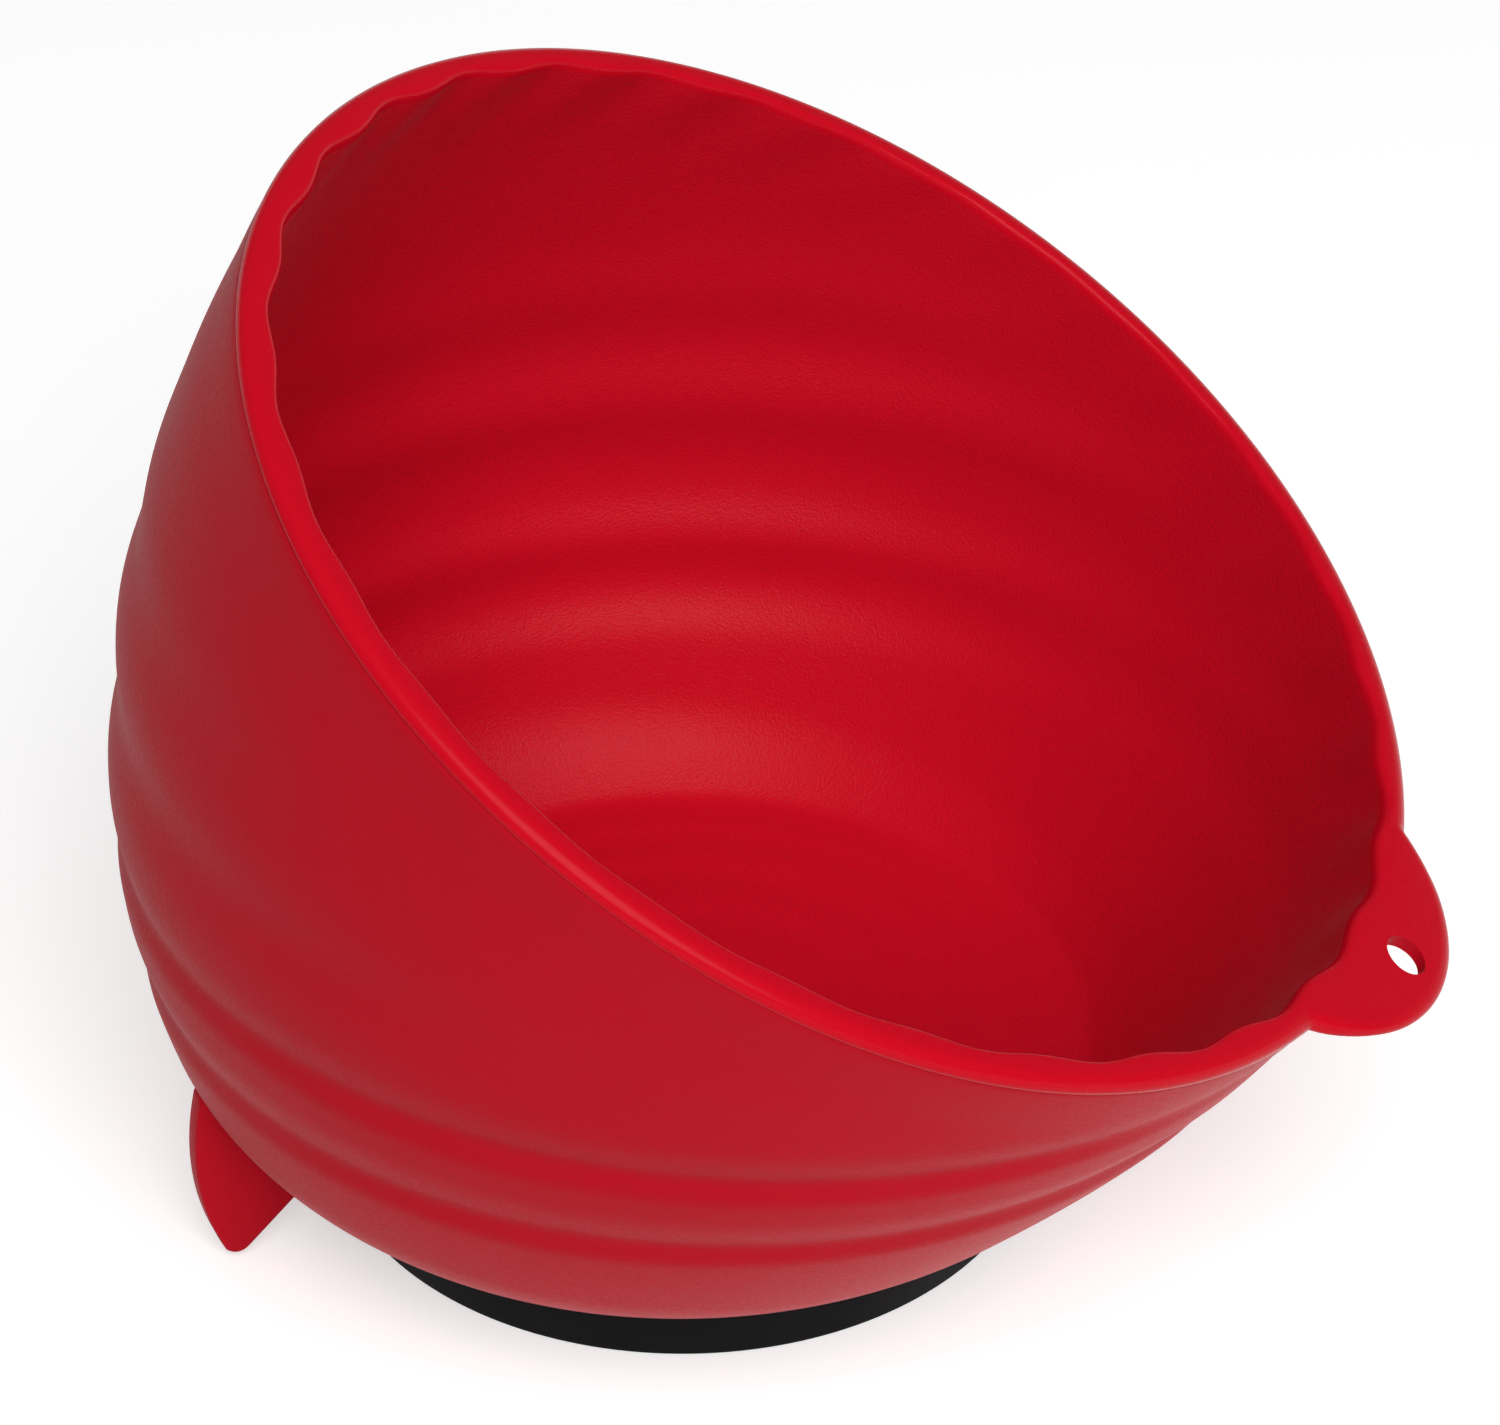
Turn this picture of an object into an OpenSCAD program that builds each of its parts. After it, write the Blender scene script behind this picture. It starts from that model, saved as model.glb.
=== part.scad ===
// Magnetic parts bowl.
// A moulded bowl with a slanted round mouth, a hanging tab and two rear fins.
// It turns on a round magnet foot, held by one screw through its floor.
// The resting face of the foot is at z = 0, its axis is Z, and the tab points to +X.

/* [Mouth] */
// Outer diameter of the mouth
rim_d = 148; // [130:1:165]
// Tilt of the mouth from level
rim_tilt = 31.5; // [27:0.5:35]
// Height of the mouth's centre above the resting face
rim_z = 90.3; // [84:0.1:100]
// Offset of the mouth's centre from the foot's axis
rim_x = 21.3; // [15:0.1:26]
// Width of the flat lip around the mouth
lip_w = 3.2; // [2.4:0.1:4.5]

/* [Bowl] */
// Outer radius that the wall flares from, above its heel
belly_r = 53.4; // [50:0.1:56]
// Flare of the wall, higher for a rounder belly
belly_power = 2.7; // [2:0.1:3.5]
// How far the belly sits behind an even bend from the foot to the mouth
belly_back = 2.5; // [0:0.1:4]
// Thickness of the wall
wall_t = 3; // [2:0.1:4]
// Thickness of the floor
floor_t = 3; // [2.4:0.1:4]
// How far inside the boot's side the ring that carries the wall gives way to the floor panel
panel_in = 4.5; // [2.5:0.5:8]
// Depth of the rings that lap around the wall
ring_depth = 1; // [0.4:0.1:1.5]
// Height of the drawn-in edge above a ring's groove
ring_above = 6; // [4:0.5:8]
// Height of the round shoulder below a ring's groove
ring_below = 4.5; // [3:0.5:7]
// Distance down the wall over which the upper rings fade in
ring_fade = 45; // [30:1:55]
// Height of the ripples on the floor panel
ripple_h = 0.6; // [0.2:0.1:1]
// Pitch of the ripples on the floor panel
ripple_pitch = 9.5; // [7:0.5:12]

/* [Flutes inside the lip] */
// Number of flutes
flute_n = 30; // [20:1:36]
// Depth of the flutes
flute_depth = 1; // [0.4:0.1:1.4]
// Length of the flutes down the wall
flute_l = 14; // [8:1:20]
// Slant of the flutes, in degrees around the mouth for each millimetre down
flute_slant = -0.4; // [-0.8:0.05:0]

/* [Hanging tab] */
// Radius of the tab's round end
tab_r = 22.4; // [18:0.2:26]
// How far the tab stands out from the mouth
tab_out = 8.8; // [7:0.1:14]
// Thickness of the tab
tab_t = 1.5; // [1.2:0.1:3]
// Diameter of the hanging hole
hole_d = 5.2; // [4:0.1:6]
// Distance of the hole's centre from the edge of the mouth
hole_out = 3.6; // [3.2:0.1:5]

/* [Rear fins] */
// Angle of each fin from the back of the bowl
fin_angle = 49; // [30:1:65]
// Thickness of a fin
fin_t = 3; // [2:0.1:4]
// Distance of a fin's tip from the boot's side
fin_out = 15.1; // [11.5:0.1:17]
// Clearance of the tips above the resting face
fin_lift = 0.8; // [0.2:0.1:1.2]
// How far the outer edge of a fin swells beyond its tip
fin_swell = 6.3; // [4:0.1:7]

/* [Magnet foot] */
// Diameter of the rubber boot
foot_d = 89; // [80:0.5:92]
// Height of the rubber boot
foot_h = 11; // [10:0.1:13]
// Thickness of rubber under the magnet
boot_base = 1.2; // [0.8:0.1:2]
// Thickness of rubber around the magnet
boot_side = 3; // [2:0.1:4]
// Thickness of the boot's lip over the pole plate
boot_lip_t = 0.8; // [0.6:0.1:1.2]
// Width of the boot's lip over the pole plate
boot_lip_w = 7; // [5:0.5:9]
// Radius of the boot's rounded edges
boot_round = 1; // [0.6:0.1:2]
// Thickness of the pole plate
plate_t = 2; // [1.5:0.1:3]
// Bore of the ring magnet
magnet_bore = 30; // [24:1:40]
// Depth to which the bowl's heel reaches down around the foot
heel_depth = 2.4; // [1.5:0.1:3.5]
// Thickness of the heel around the foot
heel_t = 2.5; // [1.5:0.1:3]

/* [Pivot and screw] */
// Outer diameter of the bearing sleeve
sleeve_d = 10; // [9:0.5:12]
// Thread diameter of the screw
screw_d = 6; // [5:1:6]
// Length of the screw under its head
screw_l = 12; // [11.5:0.5:13]
// Diameter of the screw's head
head_d = 12; // [10:0.5:13]
// Height of the screw's head
head_h = 2.8; // [2.4:0.1:3.6]
// Width across the flats of the driving socket
socket_af = 4; // [3:0.5:4]
// Depth of the driving socket
socket_deep = 1.8; // [1.2:0.1:2]
// Diameter of the flat washer
washer_d = 24; // [20:1:30]
// Thickness of the flat washer
washer_t = 1.2; // [0.8:0.1:1.6]
// Thickness of the split washer
split_t = 1.3; // [1:0.1:1.6]
// Width of the split washer's section
split_w = 2.2; // [1.6:0.1:2.6]
// Gap in the split washer, in degrees
split_gap = 12; // [8:1:20]
// Outer diameter of the clinch nut's collar
nut_d = 14; // [12:0.5:16]
// Height of the clinch nut's collar under the pole plate
nut_h = 4; // [3:0.5:5]
// Thickness of the slip ring
slip_t = 0.3; // [0.2:0.1:0.5]

/* [Clearances] */
// Radial clearance of the bowl on its sleeve
pivot_fit = 0.05; // [0.02:0.01:0.1]
// Radial clearance of the screw in what it passes through
screw_fit = 0.1; // [0.05:0.05:0.2]
// Radial clearance of the thread that stands in as plain cylinders
thread_fit = 0.05; // [0.02:0.01:0.1]
// Axial clearance of the bowl over the slip ring
slip_fit = 0.1; // [0.05:0.05:0.2]
// Axial play of the bowl under the flat washer
play = 0.3; // [0.1:0.1:0.4]
// Clearance of the heel around the boot
heel_fit = 0.4; // [0.3:0.1:0.8]
// Gap where nodes of the one moulding meet
seam = 0.05; // [0.04:0.01:0.1]
// Gap between the top of a fin and the belly, which curves away beside it
fin_fit = 0.3; // [0.25:0.05:0.4]
// Clearance of the metal parts inside the rubber boot
boot_fit = 0.1; // [0.05:0.05:0.3]

/* [Hidden] */
$fn = 96;

red = "#c1121f";
black = "#1b1b1c";
steel = "#b4b6b8";
ferrite = "#3a3a3e";
acetal = "#e8e6e0";

// Heights of the stack on the foot's axis
foot_r = foot_d / 2;
plate_top = foot_h - boot_lip_t;
plate_low = plate_top - plate_t;
floor_low = foot_h + slip_t + slip_fit;
floor_top = floor_low + floor_t;
heel_z = floor_low - heel_depth;
sleeve_top = floor_top + play;
washer_top = sleeve_top + washer_t;
head_low = washer_top + split_t;
cavity_r = foot_r - boot_side;
panel_r = foot_r - panel_in;
fin_tip_r = foot_r + fin_out;
metal_r = cavity_r - boot_fit;

// The bowl is a fan of circles whose planes meet on one line behind the tab:
// s = 0 is the heel, level, and s = 1 is the mouth, tilted by rim_tilt.
rim_r = rim_d / 2;
recess_r = foot_r + heel_fit;
heel_r = recess_r + heel_t;
heel_s = 0.16;
pivot_x = rim_x + (rim_z - heel_z) / tan(rim_tilt);
rim_reach = norm([pivot_x - rim_x, rim_z - heel_z]);
heel_pull = rim_reach + belly_back - pivot_x;

function heel_part(s) = pow(max(0, 1 - s / heel_s), 2);
function reach(s) = rim_reach + belly_back * (1 - s) - heel_pull * heel_part(s);
function smooth_r(s) =
  rim_r - (rim_r - belly_r) * pow(1 - s, belly_power) - (belly_r - heel_r) * heel_part(s);
function fan_point(s, a, r) =
  let (tilt = s * rim_tilt, along = reach(s) - r * cos(a))
  [pivot_x - along * cos(tilt), r * sin(a), heel_z + along * sin(tilt)];

// Distance along the wall from a point up to the mouth
function below_rim(s, a) = (1 - s) * rim_tilt * PI / 180 * (reach(s) - smooth_r(s) * cos(a));
function ease(t) = let (k = min(1, max(0, t))) k * k * (3 - 2 * k);

// Rings: grooves that lie almost level at these heights, with a drawn-in edge above and a round
// shoulder below. From the third one up they are wider and fade out towards the mouth.
ring_z = [36.8, 50.6, 68.5, 87, 103.6, 120];
ring_line_x = 670;
ring_line_z = 28;
ring_wide = 1.6;
function smooth_point(s, a) = fan_point(s, a, smooth_r(s));
function ring_height(p) = ring_line_z + (p[2] - ring_line_z) * ring_line_x / (ring_line_x - p[0]);
function groove(off, wide) =
  off > 0 ? pow(max(0, 1 - off / (wide * ring_above)), 2) : ease(1 + off / (wide * ring_below));
function ring_wave(h, i = 0) =
  i == len(ring_z) ? 0 : groove(h - ring_z[i], i < 2 ? 1 : ring_wide) + ring_wave(h, i + 1);
function wave(s, a) =
  let (h = ring_height(smooth_point(s, a)), d = below_rim(s, a), upper = ease((h - 53) / 12))
  -ring_depth * ring_wave(h) * ((1 - upper) * ease((d - 2) / 8) + upper * ease((d - 14) / ring_fade));

// Flutes: soft scallops under the lip, shallower along the two sides of the mouth
function flute(s, a) =
  let (d = below_rim(s, a))
  flute_depth / 2 * cos(flute_n * (a + flute_slant * d)) * ease(1 - d / flute_l) * (0.25 + 0.75 * pow(cos(a), 2));

// Width of the wall across a fan circle: its thickness, divided by the sine of its slope there
function wall_width(s, a) =
  let (
    along = smooth_point(s, a) - smooth_point(s - 0.01, a),
    across = fan_point(s, a, 1) - fan_point(s, a, 0)
  )
  wall_t * norm(along) / norm(cross(along, across));

function outer_point(s, a) = fan_point(s, a, smooth_r(s) + wave(s, a));
function inner_r(s, a) =
  smooth_r(s) + wave(s, a) - wall_width(s, a)
  - (lip_w - wall_t) * ease(1 - below_rim(s, a) / flute_l) - flute(s, a);
function inner_point(s, a) = fan_point(s, a, inner_r(s, a));

// Place on the fan where the inside of the wall comes down to the floor, found in a few steps
function floor_s(a, s = 0.07, steps = 4) =
  steps == 0 ? s :
  floor_s(a, asin((floor_top - heel_z) / (reach(s) - inner_r(s, a) * cos(a))) / rim_tilt, steps - 1);

// Steps of the wall's mesh
wall_sides = 4 * flute_n;
outer_rows = 30;
inner_rows = 16;
row_power = 1.15;

function level_point(r, z, a) = [r * cos(a), r * sin(a), z];
function wall_section(a) = concat(
  [for (i = [0:outer_rows]) outer_point(pow(i / outer_rows, row_power), a)],
  [
    for (i = [0:inner_rows])
      let (low = floor_s(a))
      inner_point(low + (1 - low) * pow(1 - i / inner_rows, row_power), a)
  ],
  [
    level_point(panel_r, floor_top, a),
    level_point(panel_r, floor_low, a),
    level_point(recess_r, floor_low, a),
    level_point(recess_r, heel_z, a)
  ]
);

// Closed ring swept from one section at each angle, with triangles for faces
module ring_mesh(sections) {
  m = len(sections);
  n = len(sections[0]);
  points = [for (section = sections) each section];
  faces = [
    for (i = [0:m - 1], j = [0:n - 1])
      let (a = i * n + j, b = i * n + (j + 1) % n, c = (i + 1) % m * n + (j + 1) % n, d = (i + 1) % m * n + j)
      each [[a, b, c], [a, c, d]]
  ];
  polyhedron(points, faces);
}

// Ring of rectangular section on the foot's axis
module collar(inner, outer, low, high) {
  translate([0, 0, low])
    difference() {
      cylinder(r = outer, h = high - low);
      translate([0, 0, -1])
        cylinder(r = inner, h = high - low + 2);
    }
}

// Black rubber cup, open at the top, with a lip that snaps over the pole plate
module rubber_boot() {
  color(black)
    rotate_extrude()
      difference() {
        union() {
          translate([0, boot_round])
            square([foot_r, foot_h - 2 * boot_round]);
          square([foot_r - boot_round, foot_h]);
          for (z = [boot_round, foot_h - boot_round])
            translate([foot_r - boot_round, z])
              intersection() {
                circle(r = boot_round);
                translate([0, -boot_round])
                  square(2 * boot_round);
              }
        }
        translate([0, boot_base])
          square([cavity_r, plate_top - boot_base]);
        translate([0, plate_top])
          square([cavity_r - boot_lip_w + boot_side, boot_lip_t + 1]);
      }
}

// Ferrite ring that lies on the bottom of the boot
module ring_magnet() {
  color(ferrite)
    collar(magnet_bore / 2, metal_r, boot_base, plate_low);
}

// Steel disc that closes the back of the magnet
module pole_plate() {
  color(steel)
    collar(nut_neck_r(), metal_r, plate_low, plate_top);
}

function nut_neck_r() = nut_d / 2 - 2;

// Nut pressed into the pole plate from below, with its collar inside the magnet's bore
module clinch_nut() {
  color(steel)
    difference() {
      union() {
        translate([0, 0, plate_low - nut_h])
          cylinder(r = nut_d / 2, h = nut_h);
        translate([0, 0, plate_low])
          cylinder(r = nut_neck_r(), h = plate_t);
      }
      translate([0, 0, plate_low - nut_h - 1])
        cylinder(d = screw_d + 2 * thread_fit, h = nut_h + plate_t + 2);
    }
}

// Thin plastic ring on the boot's lip that the bowl slides on
module slip_ring() {
  color(acetal)
    collar(cavity_r - boot_lip_w + boot_side, foot_r - boot_round, foot_h, foot_h + slip_t);
}

// Steel tube between pole plate and washer: it takes the screw's clamping load
module bearing_sleeve() {
  color(steel)
    collar(screw_d / 2 + screw_fit, sleeve_d / 2, plate_top, sleeve_top);
}

// Wall of the moulding, from the heel around the foot to the lip of the mouth
module bowl_wall() {
  color(red)
    ring_mesh([for (i = [0:wall_sides - 1]) wall_section(360 * i / wall_sides)]);
}

// Floor panel of the moulding, with the bore that turns on the sleeve and soft ripples
module bowl_floor() {
  bore_r = sleeve_d / 2 + pivot_fit;
  edge_r = panel_r * cos(180 / wall_sides) - seam;
  flat_r = washer_d / 2 + 1;
  steps = 24;
  color(red)
    rotate_extrude()
      polygon(concat(
        [[bore_r, floor_low], [edge_r, floor_low]],
        [
          for (i = [0:steps])
            let (r = edge_r + (flat_r - edge_r) * i / steps)
            [r, floor_top + ripple_h / 2 * (1 - cos(360 * (edge_r - r) / ripple_pitch)) * ease((r - flat_r) / 3)]
        ],
        [[bore_r, floor_top]]
      ));
}

// Places its children in the plane of the mouth, with x pointing downhill
module at_mouth() {
  translate([rim_x, 0, rim_z])
    rotate([0, rim_tilt, 0])
      children();
}

// Flat tab on the low side of the lip, with a round hole to hang the bowl by
module hanging_tab() {
  color(red)
    at_mouth()
      translate([0, 0, -tab_t])
        linear_extrude(tab_t)
          difference() {
            translate([rim_r + tab_out - tab_r, 0])
              circle(r = tab_r);
            circle(r = rim_r + seam);
            translate([rim_r + hole_out, 0])
              circle(d = hole_d);
          }
}

// Point of the bowl's outside in the upright plane at angle a, as distance from the axis and height
function belly_point(a, s) =
  let (
    tilt = s * rim_tilt,
    c = pivot_x - reach(s) * cos(tilt),
    r = smooth_r(s) + wave(s, a) + fin_fit,
    k = 1 / pow(cos(tilt), 2),
    qa = pow(cos(a), 2) * k + pow(sin(a), 2),
    qb = -2 * c * cos(a) * k,
    qc = c * c * k - r * r,
    t = (-qb + sqrt(qb * qb - 4 * qa * qc)) / (2 * qa)
  )
  [t, heel_z + reach(s) * sin(tilt) - (t * cos(a) - c) * tan(tilt) - fin_fit];

function curve(p, q, r, steps) =
  [for (i = [0:steps]) let (t = i / steps) (1 - t) * (1 - t) * p + 2 * t * (1 - t) * q + t * t * r];

// Outline of a fin: its top follows the belly, its inner edge rises at 45 degrees from the tip
module fin_outline(a) {
  top_s = 0.142;
  low_s = 0.02;
  steps = 12;
  tip_round = 1.6;
  top = [for (i = [0:steps]) belly_point(a, low_s + (top_s - low_s) * i / steps)];
  high = top[steps];
  tip_in = [fin_tip_r - tip_round, fin_lift + tip_round / 2];
  tip_out = [fin_tip_r + tip_round, fin_lift + tip_round / 2];
  tip_low = [fin_tip_r, fin_lift - tip_round / 2];
  swell = [fin_tip_r + fin_swell, high[1] * 0.5];
  polygon(concat(
    top,
    curve(high, swell, tip_out, steps),
    curve(tip_out, tip_low, tip_in, steps / 2)
  ));
}

// Two upright fins under the tall side that steady the bowl against the surface it stands on
module rear_fins() {
  color(red)
    for (a = [180 - fin_angle, 180 + fin_angle])
      rotate([0, 0, a])
        rotate([90, 0, 0])
          translate([0, 0, -fin_t / 2])
            linear_extrude(fin_t)
              fin_outline(a);
}

// Plain washer that keeps the bowl on its sleeve
module flat_washer() {
  color(steel)
    collar(screw_d / 2 + screw_fit, washer_d / 2, sleeve_top, washer_top);
}

// Split washer under the screw's head
module split_washer() {
  color(steel)
    translate([0, 0, washer_top])
      rotate_extrude(angle = 360 - split_gap)
        translate([screw_d / 2 + screw_fit, 0])
          square([split_w, split_t]);
}

// Screw with a low round head and a six-sided socket
module foot_screw() {
  color(steel)
    difference() {
      union() {
        translate([0, 0, head_low - screw_l])
          cylinder(d = screw_d, h = screw_l);
        translate([0, 0, head_low])
          cylinder(d1 = head_d, d2 = head_d - 1.6, h = head_h);
      }
      translate([0, 0, head_low + head_h - socket_deep])
        cylinder(d = socket_af / cos(30), h = socket_deep + 1, $fn = 6);
    }
}

rubber_boot();
ring_magnet();
pole_plate();
clinch_nut();
slip_ring();
bearing_sleeve();
bowl_wall();
bowl_floor();
hanging_tab();
rear_fins();
flat_washer();
split_washer();
foot_screw();
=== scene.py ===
import math

import bpy
import numpy as np
from mathutils import Matrix, Vector


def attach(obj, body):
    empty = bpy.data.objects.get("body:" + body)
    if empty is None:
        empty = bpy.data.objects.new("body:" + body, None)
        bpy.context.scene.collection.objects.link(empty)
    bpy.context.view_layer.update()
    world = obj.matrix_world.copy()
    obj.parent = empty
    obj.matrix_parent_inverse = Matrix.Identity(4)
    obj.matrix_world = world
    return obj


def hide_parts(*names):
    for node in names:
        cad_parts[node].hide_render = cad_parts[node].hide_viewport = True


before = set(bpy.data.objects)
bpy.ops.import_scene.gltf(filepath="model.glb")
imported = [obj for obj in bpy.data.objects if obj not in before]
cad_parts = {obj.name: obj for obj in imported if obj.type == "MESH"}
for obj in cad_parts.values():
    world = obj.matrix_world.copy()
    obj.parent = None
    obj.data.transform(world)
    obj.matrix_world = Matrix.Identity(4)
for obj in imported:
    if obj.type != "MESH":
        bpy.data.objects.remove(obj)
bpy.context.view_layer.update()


# Rubber boot: the black foot under the bowl, a moulded rubber cup that holds the magnet.
# Its lip is stretched over the steel plate on the magnet's back, so nothing else fixes it.
MM = 0.001


def start(name):
    """Names the primitive that was just added and leaves it in edit mode with nothing selected."""
    made = bpy.context.object
    made.name = made.data.name = name
    bpy.ops.object.mode_set(mode="EDIT")
    bpy.ops.mesh.select_all(action="DESELECT")
    return made


def pick_end(piece, up):
    """Selects the faces that look straight up, 1, or straight down, -1."""
    bpy.ops.object.mode_set(mode="OBJECT")
    mesh = piece.data
    mesh.vertices.foreach_set("select", [False] * len(mesh.vertices))
    mesh.edges.foreach_set("select", [False] * len(mesh.edges))
    for polygon in mesh.polygons:
        polygon.select = up * polygon.normal.z > 0.9
    bpy.ops.object.mode_set(mode="EDIT")
    bpy.ops.mesh.select_mode(type="FACE")


def apply_modifier(piece, kind, **settings):
    """Adds one modifier with its settings and applies it to the mesh."""
    modifier = piece.modifiers.new(kind.title(), kind)
    for key, value in settings.items():
        setattr(modifier, key, value)
    bpy.context.view_layer.objects.active = piece
    bpy.ops.object.modifier_apply(modifier=modifier.name)


def round_edges(piece, width, segments, sharp=60):
    """Bevels the edges that turn by more than the sharp angle; the width is in millimetres."""
    apply_modifier(
        piece, "BEVEL", width=width * MM, segments=segments, limit_method="ANGLE",
        angle_limit=math.radians(sharp))


def settle(piece, angle=35):
    """Leaves edit mode, puts the piece's place into its mesh and smooths what isn't an edge."""
    bpy.ops.object.mode_set(mode="OBJECT")
    bpy.ops.object.select_all(action="DESELECT")
    piece.select_set(True)
    bpy.context.view_layer.objects.active = piece
    bpy.ops.object.transform_apply(location=True, rotation=True, scale=True)
    bpy.ops.object.shade_smooth_by_angle(angle=math.radians(angle))
    piece.select_set(False)


def linear(code):
    """Linear RGBA of an sRGB hex colour."""
    parts = [int(code[i:i + 2], 16) / 255 for i in (1, 3, 5)]
    return [c / 12.92 if c <= 0.04045 else ((c + 0.055) / 1.055) ** 2.4 for c in parts] + [1.0]


def add(tree, kind, inputs=None, **settings):
    """Adds a shader node, sets it up, and fills its inputs with values or other nodes' outputs."""
    made = tree.nodes.new(kind)
    for key, value in settings.items():
        setattr(made, key, value)
    for key, value in (inputs or {}).items():
        if isinstance(value, bpy.types.NodeSocket):
            tree.links.new(value, made.inputs[key])
        else:
            made.inputs[key].default_value = value
    return made


def new_material(name):
    """An empty node material, and the piece's own coordinates in metres."""
    made = bpy.data.materials.new(name)
    made.use_nodes = True
    made.node_tree.nodes.clear()
    place = add(made.node_tree, "ShaderNodeTexCoord").outputs["Object"]
    return made, made.node_tree, place


BOOT_R, BOOT_H = 44.5, 11.0
BOOT_LIP_R, BOOT_LIP_T = 37.5, 0.8
BOOT_CAVITY_R, BOOT_BASE = 41.5, 1.2
BOOT_ROUND = 0.714

bpy.ops.mesh.primitive_cylinder_add(
    vertices=192, radius=BOOT_R * MM, depth=BOOT_H * MM, location=(0, 0, BOOT_H / 2 * MM))
boot = start("rubber_boot_moulded")
pick_end(boot, 1)
bpy.ops.mesh.inset(thickness=(BOOT_R - BOOT_LIP_R) * MM)
bpy.ops.mesh.extrude_region_move(TRANSFORM_OT_translate={"value": (0, 0, -BOOT_LIP_T * MM)})
bpy.ops.mesh.extrude_region_move(TRANSFORM_OT_translate={"value": (0, 0, 0)})
widen = BOOT_CAVITY_R / BOOT_LIP_R
bpy.ops.transform.resize(value=(widen, widen, 1))
drop = BOOT_H - BOOT_LIP_T - BOOT_BASE
bpy.ops.mesh.extrude_region_move(TRANSFORM_OT_translate={"value": (0, 0, -drop * MM)})
bpy.ops.object.mode_set(mode="OBJECT")
round_edges(boot, BOOT_ROUND, 4)
settle(boot)


# Moulded rubber: satin black, a touch paler where dust sits in its fine mould texture.
def moulded_rubber():
    made, tree, place = new_material("moulded_rubber")
    texture_mm, dust_mm = 0.4, 9.0
    fine = add(tree, "ShaderNodeTexNoise", {"Vector": place, "Scale": 1 / (texture_mm * MM), "Detail": 3})
    dust = add(tree, "ShaderNodeTexNoise", {"Vector": place, "Scale": 1 / (dust_mm * MM), "Detail": 4})
    colour = add(tree, "ShaderNodeMix", {
        "Factor": dust.outputs["Fac"], "A": linear("#0a0a0b"), "B": linear("#121213")}, data_type="RGBA")
    rough = add(tree, "ShaderNodeMapRange", {
        "Value": dust.outputs["Fac"], "From Min": 0.3, "From Max": 0.7, "To Min": 0.5, "To Max": 0.62})
    bump = add(tree, "ShaderNodeBump", {
        "Height": fine.outputs["Fac"], "Strength": 0.35, "Distance": 0.05 * MM})
    shader = add(tree, "ShaderNodeBsdfPrincipled", {
        "Base Color": colour.outputs["Result"], "Roughness": rough.outputs["Result"],
        "Normal": bump.outputs["Normal"], "IOR": 1.52, "Specular IOR Level": 0.06})
    add(tree, "ShaderNodeOutputMaterial", {"Surface": shader.outputs["BSDF"]})
    return made


boot.data.materials.append(moulded_rubber())
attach(boot, "foot")
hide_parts("rubber_boot")


# Ring magnet, pole plate and clinch nut: the magnet lies in the boot under a steel disc that
# closes its field, with a threaded nut pressed into the disc. They keep the shape of the solids.
def sintered_ferrite():
    # Sintered ferrite: charcoal grey, dull, with a fine ground grain.
    made, tree, place = new_material("sintered_ferrite")
    grain_mm = 0.6
    grain = add(tree, "ShaderNodeTexNoise", {"Vector": place, "Scale": 1 / (grain_mm * MM), "Detail": 5})
    colour = add(tree, "ShaderNodeMix", {
        "Factor": grain.outputs["Fac"], "A": linear("#2c2c2f"), "B": linear("#47474b")}, data_type="RGBA")
    bump = add(tree, "ShaderNodeBump", {
        "Height": grain.outputs["Fac"], "Strength": 0.4, "Distance": 0.06 * MM})
    shader = add(tree, "ShaderNodeBsdfPrincipled", {
        "Base Color": colour.outputs["Result"], "Roughness": 0.62, "Metallic": 0.3,
        "Normal": bump.outputs["Normal"]})
    add(tree, "ShaderNodeOutputMaterial", {"Surface": shader.outputs["BSDF"]})
    return made


def zinc_plated_steel():
    # Bright zinc plating: cool grey metal with faint turning marks around the axis and soft spangle.
    made, tree, place = new_material("zinc_plated_steel")
    # A wave texture repeats every pi / 10 of its length, so one light or dark ring takes 0.16.
    turning_mm, half_wave, spangle_mm = 0.35, 0.16, 2.2
    turning = add(tree, "ShaderNodeTexWave", {
        "Vector": place, "Scale": half_wave / (turning_mm * MM), "Distortion": 1.2, "Detail": 2},
        wave_type="RINGS", rings_direction="Z")
    spangle = add(tree, "ShaderNodeTexNoise", {
        "Vector": place, "Scale": 1 / (spangle_mm * MM), "Detail": 3})
    colour = add(tree, "ShaderNodeMix", {
        "Factor": spangle.outputs["Fac"], "A": linear("#a9abae"), "B": linear("#c9cacc")}, data_type="RGBA")
    rough = add(tree, "ShaderNodeMapRange", {
        "Value": spangle.outputs["Fac"], "From Min": 0.3, "From Max": 0.7, "To Min": 0.26, "To Max": 0.42})
    bump = add(tree, "ShaderNodeBump", {
        "Height": turning.outputs["Fac"], "Strength": 0.12, "Distance": 0.02 * MM})
    shader = add(tree, "ShaderNodeBsdfPrincipled", {
        "Base Color": colour.outputs["Result"], "Roughness": rough.outputs["Result"], "Metallic": 1.0,
        "Normal": bump.outputs["Normal"]})
    add(tree, "ShaderNodeOutputMaterial", {"Surface": shader.outputs["BSDF"]})
    return made


def coat(node_name, material):
    """Gives a node that keeps its solid shape its finish."""
    mesh = bpy.data.objects[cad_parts[node_name].name].data
    mesh.materials.clear()
    mesh.materials.append(material)


zinc = zinc_plated_steel()
coat("ring_magnet", sintered_ferrite())
coat("pole_plate", zinc)
coat("clinch_nut", zinc)


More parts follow.
